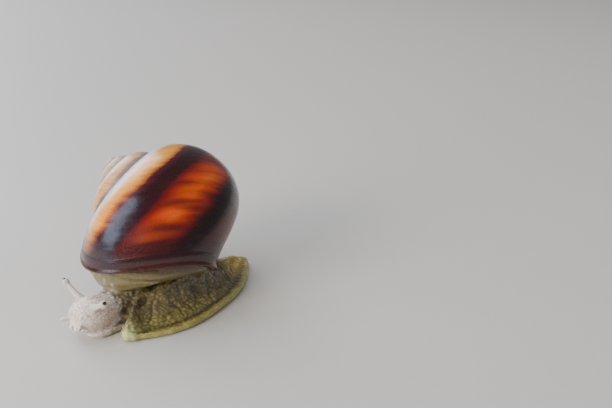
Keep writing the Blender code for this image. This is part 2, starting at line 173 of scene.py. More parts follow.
def whorl_section(outer_count, inner_count):
    """The closed section, columns rho, height, lean, phi and 1 where it lies on the whorl before."""
    phi = np.linspace(0.75 * pi, -1.25 * pi, OUTLINE_POINTS)
    outline = whorl_outline(phi)
    middle = whorl_outline(np.array([0.0, pi])).mean(axis=0)
    hub, before = middle / GROWTH, outline / GROWTH
    free = reach_beyond(outline, hub, before) > 0
    outer = np.column_stack([outline, np.sin(phi), phi, np.zeros_like(phi)])[free]
    sunk = hub + (before - hub) * (1 - WHORL_OVERLAP / np.linalg.norm(before - hub, axis=1))[:, None]
    covered = sunk[reach_beyond(sunk, middle, outline) < 0]
    lean = np.linspace(outer[0, 2], outer[-1, 2], len(covered))
    turn_round = np.linspace(outer[0, 3], outer[-1, 3], len(covered))
    inner = np.column_stack([covered, lean, turn_round, np.ones_like(lean)])
    return np.concatenate([evenly(outer, outer_count), evenly(inner, inner_count + 2)[-2:0:-1]])


def shell_seat():
    """The matrix from the shell's own frame, in metres, to its seat on the animal."""
    lay_down = Matrix(((0, 0, -1), (-1, 0, 0), (0, 1, 0)))
    tilt, yaw, roll = (Matrix.Rotation(a, 3, axis) for a, axis in zip(SHELL_TILTS, "YZX"))
    turned = (roll @ yaw @ tilt @ lay_down).to_4x4()
    place = (Vector(SHELL_PLACE) + Vector(STAND)) * MM
    return Matrix.Translation(place) @ turned @ Matrix.Translation((0, 0, SHELL_HOLD * MM))


SECTION_POINTS = (60, 14)               # on its outside, and where it lies on the whorl before
section = whorl_section(*SECTION_POINTS)
SHELL_SEAT = shell_seat()
arc = np.degrees(section[[0, SECTION_POINTS[0] - 1], 3])
print("section points:", len(section), "outer arc, degrees:", arc.round())

# %% Helpers for pieces and Geometry Nodes
def new_piece(mesh, name):
    """A new object for this mesh, at the origin."""
    mesh.name = name
    piece = bpy.data.objects.new(name, mesh)
    bpy.context.scene.collection.objects.link(piece)
    return piece


def evaluated_copy(holder, name):
    """The holder's mesh as its modifiers leave it, as a new plain object; the holder is removed."""
    depsgraph = bpy.context.evaluated_depsgraph_get()
    mesh = bpy.data.meshes.new_from_object(holder.evaluated_get(depsgraph), preserve_all_data_layers=True,
                                           depsgraph=depsgraph)
    bpy.data.objects.remove(holder, do_unlink=True)
    return new_piece(mesh, name)


def store(mesh, name, numbers):
    """Stores a number at each point of a mesh."""
    layer = mesh.attributes.new(name, "FLOAT", "POINT")
    layer.data.foreach_set("value", np.asarray(numbers, np.float32))


def describe(piece):
    """Prints a piece's faces and its volume, which is below zero where the faces point inwards."""
    shape = bmesh.new()
    shape.from_mesh(piece.data)
    volume = shape.calc_volume(signed=True) / MM ** 3
    shape.free()
    print(piece.name + ":", len(piece.data.polygons), "faces,", round(volume), "mm3")


def grow_nodes(tree_name, sizes):
    """A new Geometry Nodes tree with a geometry input and one for each size, and those inputs by name."""
    tree = bpy.data.node_groups.new(tree_name, "GeometryNodeTree")
    tree.interface.new_socket("Geometry", in_out="OUTPUT", socket_type="NodeSocketGeometry")
    tree.interface.new_socket("Geometry", in_out="INPUT", socket_type="NodeSocketGeometry")
    for name, value in sizes.items():
        kind = "NodeSocketInt" if isinstance(value, int) else "NodeSocketFloat"
        tree.interface.new_socket(name, in_out="INPUT", socket_type=kind)
    return tree, {socket.name: socket for socket in tree.nodes.new("NodeGroupInput").outputs}


def run_nodes(holder, tree, sizes):
    """Puts the tree on the holder as a modifier with these sizes."""
    modifier = holder.modifiers.new(tree.name, "NODES")
    modifier.node_group = tree
    for item in tree.interface.items_tree:
        if item.in_out == "INPUT" and item.name in sizes:
            modifier[item.identifier] = sizes[item.name]


def finish_nodes(tree, geometry, finish):
    """Ends a tree: real meshes in place of instances, smooth faces and the finish."""
    real = add(tree, "GeometryNodeRealizeInstances", {0: geometry})
    smooth = add(tree, "GeometryNodeSetShadeSmooth", {0: real})
    painted = add(tree, "GeometryNodeSetMaterial", {0: smooth, 2: finish})
    add(tree, "NodeGroupOutput", {0: painted})


# %% [markdown]
# ## The spiral's sums
# Each point of the flat grid works out for itself where it lies on the shell: first which row and column it
# is in, then how old its row is and how large the whorl was at that age, and last how far round the axis
# that is. The tables are in the order in which a point needs them. Lengths are in metres.

# %% The tree's sizes and sums
SHELL_SIZES = {
    "Turns": 4.5,
    "Rows per turn": 230,
    "Growth per turn": GROWTH,
    "Mouth turn": MOUTH_TURN,
    "Slant in turns": LIP_SLANT / (2 * pi),
    "Middle radius": (SHELL_RADIUS - WHORL_HALF_WIDTH) * MM,
    "Middle drop": -WHORL_DROP * MM,
    "Wall": 0.9 / WHORL_HALF_WIDTH,     # share of the section, 0.9 mm at the mouth
    "Mouth rows": 8,
    "Mouth depth": 0.05,                # turns that the open mouth runs back inside
    "First cap": 0.35,                  # turns over which the first whorl swells from a point
    "Growth line height": 0.085 * MM,
    "Growth lines per turn": 62.0,      # about 2.4 mm apart on the last whorl
    "Dent depth": 0.16 * MM,
    "Seed": 4.0,
}
GRID_STEPS = (
    ("rows along", "MULTIPLY", "Turns", "Rows per turn"),
    ("spiral rows", "ROUND", "rows along"),
    ("rows", "ADD", "spiral rows", "Mouth rows"),
    ("last row", "SUBTRACT", "rows", 1.0),
    ("columns", "ADD", "points", 1.0),
    # which row and column of the grid a point is in, and so which point of the section it copies
    ("row", "MULTIPLY_ADD", "last row", 0.5, "grid x"),
    ("row", "ROUND", "row"),
    ("column", "MULTIPLY_ADD", "points", 0.5, "grid y"),
    ("column", "ROUND", "column"),
    ("point", "MODULO", "column", "points"),
)
FIRST_TURNS = 2.2                       # turns over which the inner side moves out from the axis
BUDDING = 0.25                          # power by which the first turn moves out
CORE = 0.08 * MM                        # radius that no point goes below, so that none crosses the axis
TINY = 0.000001
TOUCHING = 0.0005 * MM                  # points of the seam this close become one
SPIRAL_STEPS = (
    # how many turns back from the mouth each row is, and how many rows past the mouth's edge
    ("last spiral row", "SUBTRACT", "spiral rows", 1.0),
    ("share", "DIVIDE CLAMPED", "row", "last spiral row"),
    ("unwound", "SUBTRACT", 1.0, "share"),
    ("turns back", "MULTIPLY", "unwound", "Turns"),
    ("past", "SUBTRACT", "row", "last spiral row"),
    ("past", "MAXIMUM", "past", 0.0),
    ("past first", "SUBTRACT", "past", 1.0),
    ("mouth span", "SUBTRACT", "Mouth rows", 1.0),
    ("inside", "DIVIDE CLAMPED", "past first", "mouth span"),
    ("retreat", "MULTIPLY_ADD", "inside", "Mouth depth", "turns back"),
    ("growth", "SUBTRACT", "Mouth turn", "retreat"),
    # the section swells from a point at the first whorl
    ("age", "SUBTRACT", "Turns", "turns back"),
    ("cap", "DIVIDE CLAMPED", "age", "First cap"),
    ("cap", "SUBTRACT", 1.0, "cap"),
    ("cap", "MULTIPLY", "cap", "cap"),
    ("cap", "SUBTRACT", 1.0, "cap"),
    ("cap", "SQRT", "cap"),
    # it is less by the wall inside the mouth, and a point behind it
    ("inset", "MINIMUM", "past", 1.0),
    ("inset", "MULTIPLY", "inset", "Wall"),
    ("last past", "SUBTRACT", "Mouth rows", 0.5),
    ("closing", "GREATER_THAN", "past", "last past"),
    ("shrunk", "SUBTRACT", 1.0, "inset"),
    ("shrunk", "SUBTRACT CLAMPED", "shrunk", "closing"),
    ("scale", "MULTIPLY", "cap", "shrunk"),
    # the first turns have little or no whorl before them, so their inner side is drawn in to the axis
    ("drawn in", "DIVIDE CLAMPED", "age", FIRST_TURNS),
    ("drawn in", "SUBTRACT", 1.0, "drawn in"),
    ("drawn in", "MULTIPLY", "inner", "drawn in"),
    ("kept", "SUBTRACT", 1.0, "drawn in"),
    ("out", "MULTIPLY", "rho", "kept"),
    ("out", "SUBTRACT", "out", "Middle radius"),
    ("out", "MULTIPLY_ADD", "out", "scale", "Middle radius"),
    ("up", "SUBTRACT", "height", "Middle drop"),
    ("up", "MULTIPLY_ADD", "up", "scale", "Middle drop"),
    # at both ends the lean goes too, so that the whole section meets in one point
    ("unclosed", "SUBTRACT", 1.0, "closing"),
    ("lean left", "MULTIPLY", "cap", "unclosed"),
    ("lean", "MULTIPLY", "lean", "lean left"),
    # the spiral itself: size doubles each turn while the section goes round the axis
    ("leaning", "MULTIPLY_ADD", "Slant in turns", "lean", "growth"),
    ("size", "POWER", "Growth per turn", "leaning"),
    # the shell starts on the axis and moves out over its first turn
    ("budding", "ADD CLAMPED", "age", 0.0),
    ("budding", "POWER", "budding", BUDDING),
    ("out", "MULTIPLY", "out", "budding"),
    ("radius", "MULTIPLY", "out", "size"),
    ("radius", "MAXIMUM", "radius", CORE),
    ("angle", "MULTIPLY", "leaning", -2 * pi),
    ("cosine", "COSINE", "angle"),
    ("sine", "SINE", "angle"),
    ("x", "MULTIPLY", "radius", "cosine"),
    ("y", "MULTIPLY", "radius", "sine"),
    ("z", "MULTIPLY", "up", "size"),
    ("swept", "VECTOR", "x", "y", "z"),
    # 1 on the shell's outside, and 1 where points meet: along the grid's seam and at both ends
    ("outer rows", "LESS_THAN", "past", 0.5),
    ("outside", "SUBTRACT", 1.0, "inner"),
    ("outside", "MULTIPLY", "outer rows", "outside"),
    ("seam", "LESS_THAN", "point", 0.5),
    ("pole", "LESS_THAN", "scale", TINY),
    ("joined", "MAXIMUM", "seam", "pole"),
)
LINE_SPREAD = 1.3                       # growth lines waver this often to a radian round the tube
DENTS = (17.0, 2.4)                     # how many to a turn, and to a radian round the tube
RELIEF_STEPS = (
    ("lines", "SUBTRACT", "lines", 0.5),
    ("dents", "SUBTRACT", "dents", 0.5),
    ("relief", "MULTIPLY", "lines", "Growth line height"),
    ("relief", "MULTIPLY_ADD", "dents", "Dent depth", "relief"),
    # in step with the whorl's size, and only on the outside
    ("whorl size", "POWER", "Growth per turn", "growth"),
    ("relief", "MULTIPLY", "relief", "whorl size"),
    ("relief", "MULTIPLY", "relief", "outside"),
    ("push", "SCALED", "normal", "relief"),
)
KEPT = ("growth", "around", "outside", "joined")    # numbers that stay on the grown shell's points
print("sums for each point:", len(GRID_STEPS) + len(SPIRAL_STEPS) + len(RELIEF_STEPS))

# %% Grow the shell with Geometry Nodes
def growth_noise(tree, value, name, to_a_turn, to_a_radian, seed, detail=2.0, roughness=0.6):
    """Noise along the growth, by how many patches fit in a turn and in a radian round the tube."""
    work_out(tree, value, (
        ("along", "MULTIPLY", "growth", to_a_turn),
        ("round", "MULTIPLY", "around", to_a_radian),
        ("spot", "VECTOR", "along", "round", seed),
        (name, "NOISE", "spot", 1.0, detail, roughness)))


def spiral_tree(sizes, finish):
    """Sweeps the section along the spiral, opens the mouth and raises the growth lines."""
    tree, value = grow_nodes("spiral_shell", sizes)
    drawn = value["Geometry"]
    position = add(tree, "GeometryNodeInputPosition")
    place = add(tree, "ShaderNodeSeparateXYZ", {0: position}).node
    value.update({"points": add(tree, "GeometryNodeAttributeDomainSize", {0: drawn}),
                  "grid x": place.outputs[0], "grid y": place.outputs[1]})
    work_out(tree, value, GRID_STEPS)
    geometry = add(tree, "GeometryNodeMeshGrid", {
        i: value[name] for i, name in enumerate(("last row", "points", "rows", "columns"))})

    # each point of the grid reads the point of the section that it copies
    at = add(tree, "GeometryNodeSampleIndex", {0: drawn, 1: position, 2: value["point"]},
             data_type="FLOAT_VECTOR")
    at = add(tree, "ShaderNodeSeparateXYZ", {0: at}).node
    value.update({"rho": at.outputs[0], "height": at.outputs[2]})
    for name in ("lean", "phi", "inner"):
        stored = add(tree, "GeometryNodeInputNamedAttribute", {0: name}, data_type="FLOAT")
        value[name] = add(tree, "GeometryNodeSampleIndex", {0: drawn, 1: stored, 2: value["point"]})
    work_out(tree, value, SPIRAL_STEPS)

    # growth and angle are stored for the finish, then the grid is rolled up and its seam joined
    value["around"] = value["phi"]
    for name in KEPT:
        geometry = add(tree, "GeometryNodeStoreNamedAttribute", {0: geometry, 2: name, 3: value[name]},
                       data_type="FLOAT")
    geometry = add(tree, "GeometryNodeSetPosition", {0: geometry, 2: value["swept"]})
    for name in KEPT:
        value[name] = add(tree, "GeometryNodeInputNamedAttribute", {0: name}, data_type="FLOAT")
    geometry = add(tree, "GeometryNodeMergeByDistance", {0: geometry, 1: value["joined"], 2: TOUCHING})

    # growth lines and shallow dents
    growth_noise(tree, value, "lines", "Growth lines per turn", LINE_SPREAD, "Seed")
    growth_noise(tree, value, "dents", *DENTS, "Seed", detail=1.0, roughness=0.5)
    value["normal"] = add(tree, "GeometryNodeInputNormal")
    work_out(tree, value, RELIEF_STEPS)
    geometry = add(tree, "GeometryNodeSetPosition", {0: geometry, 3: value["push"]})
    finish_nodes(tree, geometry, finish)
    return tree


def section_holder(section):
    """The drawn section as a ring of loose points, which the tree reads."""
    mesh = bpy.data.meshes.new("shell_section")
    mesh.from_pydata([(rho * MM, 0.0, height * MM) for rho, height in section[:, :2]], [], [])
    for name, column in (("lean", 2), ("phi", 3), ("inner", 4)):
        store(mesh, name, section[:, column])
    return new_piece(mesh, "shell_section")


horn = bpy.data.materials.new("periostracum_horn")
holder = section_holder(section)
run_nodes(holder, spiral_tree(SHELL_SIZES, horn), SHELL_SIZES)
shell = evaluated_copy(holder, "snail_shell")
shell.data.transform(SHELL_SEAT)
describe(shell)

# %% [markdown]
# ## The lip
# A full-grown snail turns the edge of its mouth out into a thicker rim. It could be a bevelled curve, but
# the rim has to leave the shell's own surface without a step, so its section is drawn afresh at each point
# of the mouth's edge: it starts on the last growth rows, flares, rounds over and runs back inside.

# %% Read the mouth's edge off the shell
SAME_ROW = 0.3                          # rows apart that still count as one row


def numbers_of(items, name, width, kind=np.float32):
    """What is kept under this name for each item of a mesh, as rows of this width."""
    numbers = np.empty(len(items) * width, kind)
    items.foreach_get(name, numbers)
    return numbers.reshape(-1, width)


def stored_on(mesh, name):
    return numbers_of(mesh.attributes[name].data, "value", 1)[:, 0].astype(float)


def points_of(mesh):
    """The points of a mesh, in mm."""
    return numbers_of(mesh.vertices, "co", 3).astype(float) / MM


def normals_of(mesh):
    return numbers_of(mesh.vertex_normals, "vector", 3).astype(float)


def mouth_rows(count):
    """The shell's last growth rows, seam to navel, as places and normals; row 0 is the mouth's edge."""
    points, normals = points_of(shell.data), normals_of(shell.data)
    behind = (MOUTH_TURN - stored_on(shell.data, "growth")) * SHELL_SIZES["Rows per turn"]
    around = stored_on(shell.data, "around")
    shown = stored_on(shell.data, "outside") > 0.5
    rows = []
    for row in range(count):
        chosen = np.flatnonzero(shown & (np.abs(behind - row) < SAME_ROW))
        chosen = chosen[np.argsort(-around[chosen])]
        rows.append((points[chosen], normals[chosen]))
    return rows


def mouth_frame(ring):
    """The mouth's middle and the direction, square to it, in which the animal comes out."""
    middle = ring.mean(axis=0)
    out = np.cross(ring - middle, np.roll(ring, -1, axis=0) - middle).sum(axis=0)
    out /= np.linalg.norm(out)
    return middle, out if out[2] < 0 else -out


def unit(vectors):
    return vectors / np.linalg.norm(vectors, axis=-1, keepdims=True)


def rounded_loop(loop, cuts):
    """A closed line of points with a curve through them instead of corners."""
    before, after, beyond = (np.roll(loop, -shift, axis=0) for shift in (-1, 1, 2))
    pieces = []
    for cut in range(cuts):
        t = cut / cuts
        pieces.append(0.5 * (2 * loop + (after - before) * t
                             + (2 * before - 5 * loop + 4 * after - beyond) * t ** 2
                             + (3 * loop - before - 3 * after + beyond) * t ** 3))
    return np.stack(pieces, axis=1).reshape(-1, *loop.shape[1:])


rows_at_mouth = mouth_rows(4)
rim = rows_at_mouth[0][0]
MOUTH_MIDDLE, MOUTH_OUT = mouth_frame(rim)
rim_away = rim - MOUTH_MIDDLE
rim_away = unit(rim_away - np.outer(rim_away @ MOUTH_OUT, MOUTH_OUT))
print("mouth: middle", MOUTH_MIDDLE.round(1), "mm, comes out towards", MOUTH_OUT.round(2))

# %% Build the lip
LIP_LENGTH = 1.9                        # mm past the shell's last row
LIP_THICKNESS = 1.1
LIP_RISE = (-0.1, 0.04, 0.1, 0.13)      # mm that it stands off the shell's last four rows
LIP_STEPS = (                           # then out and ahead, as shares of its thickness and length
    (0.14, 0.42), (0.38, 0.72), (0.42, 0.90), (0.1, 1.0), (-0.45, 0.97), (-0.85, 0.7), (-1.0, 0.25),
    (-0.95, -0.3))
LIP_ROUNDING = 3                        # points for each stretch of the section, and of the rim
LIP_ENDS = (0.06, 0.3)                  # shares of the rim over which it thins at the seam and at the navel
THIN_END = 0.35                         # what is left of it there


def lip_section(share):
    """The lip's section at every point of the rim: places in the section by rim points by xyz."""
    thick = LIP_THICKNESS * share[:, None]
    long = LIP_LENGTH * share[:, None]
    section = [place + normal * rise for (place, normal), rise in zip(rows_at_mouth[::-1], LIP_RISE)]
    section += [rim + rim_away * (side * thick) + MOUTH_OUT * (ahead * long) for side, ahead in LIP_STEPS]
    return np.stack(section)


def smooth_piece(shape, name):
    """A new smooth object from a bmesh, which is used up."""
    mesh = bpy.data.meshes.new(name)
    shape.to_mesh(mesh)
    shape.free()
    mesh.shade_smooth()
    return new_piece(mesh, name)


def skinned_rings(name, rings):
    """A closed tube over rings of points in mm, with its ends closed by fans."""
    shape = bmesh.new()
    grid = [[shape.verts.new(point * MM) for point in ring] for ring in rings]
    for low, high in zip(grid, grid[1:]):
        for i in range(len(low)):
            j = (i + 1) % len(low)
            shape.faces.new((low[i], low[j], high[j], high[i]))
    for ring in (grid[0], grid[-1]):
        hub = shape.verts.new(sum((v.co for v in ring), Vector()) / len(ring))
        for i in range(len(ring)):
            shape.faces.new((ring[i], ring[(i + 1) % len(ring)], hub))
    bmesh.ops.recalc_face_normals(shape, faces=shape.faces)
    piece = smooth_piece(shape, name)
    across = [i / len(rings[0]) for ring in rings for i in range(len(ring))] + [0.5, 0.5]
    store(piece.data, "across", across)
    return piece


along_rim = np.linspace(0.0, 1.0, len(rim))
whole = np.clip(np.minimum(along_rim / LIP_ENDS[0], (1 - along_rim) / LIP_ENDS[1]), 0, 1)
taper = THIN_END + (1 - THIN_END) * whole ** 0.7
sections = rounded_loop(lip_section(taper), LIP_ROUNDING)
fine_rim = np.linspace(0, len(rim) - 1, LIP_ROUNDING * len(rim))
low = np.minimum(fine_rim.astype(int), len(rim) - 2)
part_way = (fine_rim - low)[None, :, None]
sections = sections[:, low] * (1 - part_way) + sections[:, low + 1] * part_way
lip = skinned_rings("shell_rim", sections.swapaxes(0, 1))
describe(lip)

# %% [markdown]
# ## One skin over the flesh
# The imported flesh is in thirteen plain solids, with a hair's gap between neighbours. A living snail has one
# skin, so the solids are copied, swollen until they meet, and wrapped in one even net of small squares by a
# voxel remesh. Smoothing then takes the facets off. It goes out as much as in, so that thin feelers keep
# their width.

# %% Name the flesh and fill its gaps
FLESH = sorted(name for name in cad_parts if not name.startswith(("shell_", "eye_")))
HEAD_PARTS = [name for name in FLESH if name.startswith(("head", "mouth", "tentacle"))]
FEELERS = [name for name in FLESH if name.startswith("tentacle")]
# balls of flesh, place and radii in mm, where the neck runs into the foot under the collar
FILLINGS = [((5.0, -8.0, 4.9), (3.2, 4.0, 2.6)), ((5.4, -3.6, 7.3), (4.5, 4.0, 2.2))]
FEELER_END = 0.52                       # radius in mm of the round end of a lower feeler
END_DEPTH = 0.3                         # mm from a feeler's farthest corner that still count as its end


def middle_of(name):
    low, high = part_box(name)
    return np.array((low + high) / 2) / MM


def outer_end(name):
    """The middle of a feeler's outer end: the mean of its corners farthest from the head's middle."""
    corners = [vertex.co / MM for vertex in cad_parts[name].data.vertices]
    head_corners = [vertex.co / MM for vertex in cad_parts["head"].data.vertices]
    middle = sum(head_corners, Vector()) / len(head_corners)
    reach = max((corner - middle).length for corner in corners)
    farthest = [corner for corner in corners if (corner - middle).length > reach - END_DEPTH]
    return sum(farthest, Vector()) / len(farthest)


for feeler in FEELERS:
    if "lower" in feeler:
        FILLINGS.append((outer_end(feeler), (FEELER_END,) * 3))
print("flesh:", len(FLESH), "solids and", len(FILLINGS), "balls between them and at feelers' ends")

# %% Wrap the flesh in one net
SWELL = 0.22                            # mm, a little over half the gap between the solids
NET = 0.26                              # mm from corner to corner
SMOOTH_PASSES = 80
SMOOTH_IN, SMOOTH_OUT = 0.5, -0.52      # shares of the way to the neighbours' middle, and back out
FEELER_GUARD = 1.2                      # mm round the feelers where the smoothing is gentler
LEAST_SMOOTHING = 0.25                  # its share on the feelers themselves


def solid_copy(name):
    """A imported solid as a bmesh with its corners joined."""
    shape = bmesh.new()
    shape.from_mesh(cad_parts[name].data)
    bmesh.ops.remove_doubles(shape, verts=shape.verts, dist=0.001 * MM)
    shape.normal_update()
    return shape


def wrapped(names, swell, net):
    """One closed net of squares round these solids."""
    joined = bpy.data.meshes.new("snail_skin")
    together = bmesh.new()
    for name in names:
        shape = solid_copy(name)
        for vertex in shape.verts:
            vertex.co += vertex.normal * (swell * MM)
        shape.to_mesh(joined)
        together.from_mesh(joined)
        shape.free()
    for place, radii in FILLINGS:
        ball = bmesh.ops.create_icosphere(together, subdivisions=3, radius=1.0)
        for vertex in ball["verts"]:
            vertex.co = [(p + r * c) * MM for p, r, c in zip(place, radii, vertex.co)]
    together.to_mesh(joined)
    together.free()
    holder = new_piece(joined, "skin_wrap")
    remesh = holder.modifiers.new("net", "REMESH")
    remesh.mode = "VOXEL"
    remesh.voxel_size = net * MM
    return evaluated_copy(holder, "skin_net")


def distance_to(names, points):
    """How far each point lies from the nearest of these solids, in mm."""
    trees = []
    for name in names:
        shape = solid_copy(name)
        trees.append(BVHTree.FromBMesh(shape))
        shape.free()
    return np.array([min(tree.find_nearest(Vector(p) * MM)[3] for tree in trees) for p in points]) / MM


def set_points(mesh, points):
    mesh.vertices.foreach_set("co", (points * MM).astype(np.float32).ravel())
    mesh.update()


def smoothed(points, edges, passes, share):
    """Points moved towards their neighbours' middle and back out, so that bumps go and thickness stays."""
    ends = np.concatenate([edges, edges[:, ::-1]])
    degree = np.bincount(ends[:, 0], minlength=len(points))[:, None]
    for step in (SMOOTH_IN, SMOOTH_OUT) * passes:
        near = [np.bincount(ends[:, 0], column[ends[:, 1]], len(points)) for column in points.T]
        points = points + step * share[:, None] * (np.stack(near, -1) / degree - points)
    return points


skin_net = wrapped(FLESH, SWELL, NET)
net_points = points_of(skin_net.data)
softness = np.clip(distance_to(FEELERS, net_points) / FEELER_GUARD, LEAST_SMOOTHING, 1.0)
edges = numbers_of(skin_net.data.edges, "vertices", 2, np.int32)
set_points(skin_net.data, smoothed(net_points, edges, SMOOTH_PASSES, softness))
print("net:", len(skin_net.data.polygons), "squares")

# %% [markdown]
# ## A finer net on the head
# The mouth and feelers need smaller squares than the foot, so the faces near the head's solids are cut in
# four. The whole skin then shrinks back by what it was swollen, and its underside is pressed flat.

# %% Refine the head
FINE_REACH = 0.7                        # mm beyond the head's solids
FULLNESS = 0.04                         # mm of the swelling that stays
FINE_PASSES, FINE_SMOOTHING = 4, 0.8


def refine(net, reach):
    """Cuts the net's squares in four near the head's solids."""
    near = distance_to(HEAD_PARTS, points_of(net.data)) < reach
    shape = bmesh.new()
    shape.from_mesh(net.data)
    shape.verts.ensure_lookup_table()
    edges = [edge for edge in shape.edges if near[edge.verts[0].index] and near[edge.verts[1].index]]
    bmesh.ops.subdivide_edges(shape, edges=edges, cuts=1, use_grid_fill=True, smooth=0.0)
    bmesh.ops.triangulate(shape, faces=[face for face in shape.faces if len(face.verts) > 4])
    shape.to_mesh(net.data)
    shape.free()


refine(skin_net, FINE_REACH)
rest = points_of(skin_net.data)
edges = numbers_of(skin_net.data.edges, "vertices", 2, np.int32)
rest = smoothed(rest, edges, FINE_PASSES, np.full(len(rest), FINE_SMOOTHING))
set_points(skin_net.data, rest)
rest = rest - normals_of(skin_net.data) * (SWELL - FULLNESS)
rest[:, 2] = np.maximum(rest[:, 2], 0.0)
set_points(skin_net.data, rest)
describe(skin_net)

# %% [markdown]
# ## Where each part of the skin lies
# The folds, the pebbled grain and the colours all change from part to part. Each part gets a soft-edged
# number between 0 and 1 at every point of the skin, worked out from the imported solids' places: 1 on the
# part, 0 away from it.

# %% Measure the parts
def ease(x, low, high):
    """0 below low, 1 above high, and a smooth rise between."""
    t = np.clip((x - low) / (high - low), 0, 1)
    return t * t * (3 - 2 * t)


def bell(x, width):
    """1 at zero, falling off smoothly to both sides."""
    return np.exp(-(x / width) ** 2)


def away_from(place, stretch=1.0):
    """How far each point of the skin lies from a place in mm, with its axes stretched."""
    return np.linalg.norm((rest - place) * stretch, axis=1)


AHEAD = unit(np.array((-0.25, -0.97, 0.0)))     # the way the head points
LEFT = np.array((-AHEAD[1], AHEAD[0], 0.0))
UP = np.array((0.0, 0.0, 1.0))
HEAD = middle_of("head")
MOUTH = middle_of("mouth_lips")
from_head = rest - HEAD
ahead, left = from_head @ AHEAD, from_head @ LEFT
normal = normals_of(skin_net.data)
height = rest[:, 2]

NEAR = {                                # the solids of each part, and over what distance in mm it fades out
    "head": (["head", "mouth_lips"], 0.2, 2.2), "feelers": (FEELERS, 0.1, 0.9),
    "collar": (["mantle_collar"], 0.15, 0.9), "neck": (["neck"], 0.15, 1.0),
    "foot": (["foot_front", "foot_middle", "foot_tail"], 0.1, 0.8),
}
on_head, on_feeler, on_collar, on_neck, on_foot = (
    1 - ease(distance_to(names, rest), low, high) for names, low, high in NEAR.values())
on_foot *= (1 - on_collar) * (1 - on_head)
SIDE_LOBE = np.array((9.0, -20.9, 1.5))     # a fold of the foot's front edge, next to the head
FRINGE_HEIGHT, LOBE_HEIGHT = 1.62, 1.3      # mm, and how many mm higher the lobe is
on_lobe = bell(away_from(SIDE_LOBE, (1.0, 1.0, 0.8)), 3.0) * on_foot
margin_top = FRINGE_HEIGHT + LOBE_HEIGHT * bell(away_from(SIDE_LOBE, (1.0, 1.0, 0.0)), 2.6)
on_fringe = on_foot * (1 - ease(height - margin_top, -0.25, 0.15)) * ease(height, 0.0, 0.25)
below_mouth = (rest - MOUTH_MIDDLE) @ MOUTH_OUT
print("points on the head, feelers, foot:", [int(part.sum()) for part in (on_head, on_feeler, on_foot)])

# %% [markdown]
# ## Folds
# These are the folds a snail of this kind has: a fringe round the foot with a groove over it, a thick roll
# on the mantle's collar with the breathing hole at its right, two grooves along the neck, wrinkles where
# the neck is drawn in, and a slit mouth between soft lips. Each is a push along the skin's own normal.

# %% Fold the foot and the collar
FOLDS = {           # mm out of the skin, mm from the line or place it keeps to, and half width in mm
    "fringe groove": (-0.3, 0.12, 0.26), "fringe roll": (0.1, 0.0, 0.6),
    "collar roll": (0.24, 1.5, 1.0), "collar groove": (-0.26, 3.0, 0.34),
    "breathing hole": (-1.3, 0.0, 0.8), "hole's edge": (0.22, 1.4, 0.4),
    "neck ridge": (0.07, 0.0, 0.3), "neck grooves": (-0.13, 0.5, 0.17), "eye sockets": (0.1, 0.62, 0.16),
}
UNEVEN = {          # noise: its strength, its size in mm, its seed, and how much heights count
    "scallops": (0.16, 1.5, 3.0, 0.3), "flank creases": (1.0, 2.6, 8.0, 0.35),
    "collar wave": (0.35, 5.0, 5.0, 1.0), "collar frill": (0.07, 1.6, 11.0, 0.25),
    "drawn in": (0.55, 1.7, 21.0, 1.0), "wrinkle bend": (4.5, 3.2, 14.0, 1.0),
    "pale edge": (1.3, 1.3, 30.0, 1.0),
}
CREASE_DEPTH, CREASE_WIDTH = -0.22, 0.12        # mm, and a share of the noise that makes the creases
PORE_COLUMN = 8                         # of the rim's points, counted from the seam
PORE_AHEAD = 2.6                        # mm from there, the way the animal comes out


def fold(name, away, waver=0.0):
    """A roll or a groove, from how far each point is from the line or place that it keeps to."""
    out, at, half_width = FOLDS[name]
    return out * bell(away - at - waver, half_width)


def uneven(name):
    """Smooth random numbers, from about minus the row's strength to its strength."""
    strength, size, seed, stretch = UNEVEN[name]
    shift = Vector((seed, 2 * seed, -seed))
    points = rest * (1.0, 1.0, stretch)
    return strength * np.array([noise.noise(Vector(p) / size + shift) for p in points])


def foot_folds():
    groove = fold("fringe groove", height - margin_top) * on_foot * (1 - 0.6 * on_lobe)
    roll = fold("fringe roll", height - 0.5 * margin_top) * on_foot
    flank = on_foot * ease(height, margin_top + 0.1, margin_top + 0.9)
    creases = CREASE_DEPTH * bell(np.abs(uneven("flank creases")), CREASE_WIDTH)
    return groove + roll + uneven("scallops") * on_fringe + creases * flank


def collar_folds():
    wave = uneven("collar wave")
    folds = fold("collar roll", below_mouth, wave) + fold("collar groove", below_mouth, wave)
    return on_collar * ease(below_mouth, -0.8, 0.4) * (folds + uneven("collar frill"))


def breathing_hole():
    """A round hole near the seam, where the collar bulges to the animal's right."""
    target = rim[PORE_COLUMN] + PORE_AHEAD * MOUTH_OUT
    on_skin = rest[np.argmin(away_from(target) + 9 * (on_collar < 0.9))]
    print("breathing hole at", on_skin.round(1))
    away = away_from(on_skin)
    return on_collar * (fold("breathing hole", away) + fold("hole's edge", away))


push = foot_folds() + collar_folds() + breathing_hole()
print("foot and collar folds:", push.min().round(2), "to", push.max().round(2), "mm")

# %% Fold the neck and the head
FACE = {        # mm aside and up from the mouth, half widths both ways, droop, and mm out of the skin
    "slit": (0.0, -0.2, 0.2, 0.9, 0.0, -0.5),
    "lips": (0.72, -0.1, 0.5, 0.95, 0.0, 0.24),
    "crease above": (0.0, 1.45, 2.3, 0.26, 0.12, -0.2),
    "crease below": (0.0, -1.6, 1.8, 0.3, 0.0, -0.14),
    "cheeks": (2.1, 0.2, 0.8, 1.1, 0.0, 0.16),
}
WRINKLE, WRINKLE_HEIGHT = 1.45, 0.1     # mm from one neck wrinkle to the next, and mm out of the skin
LAST_SMOOTHING = 0.6                    # one light pass over the finished folds


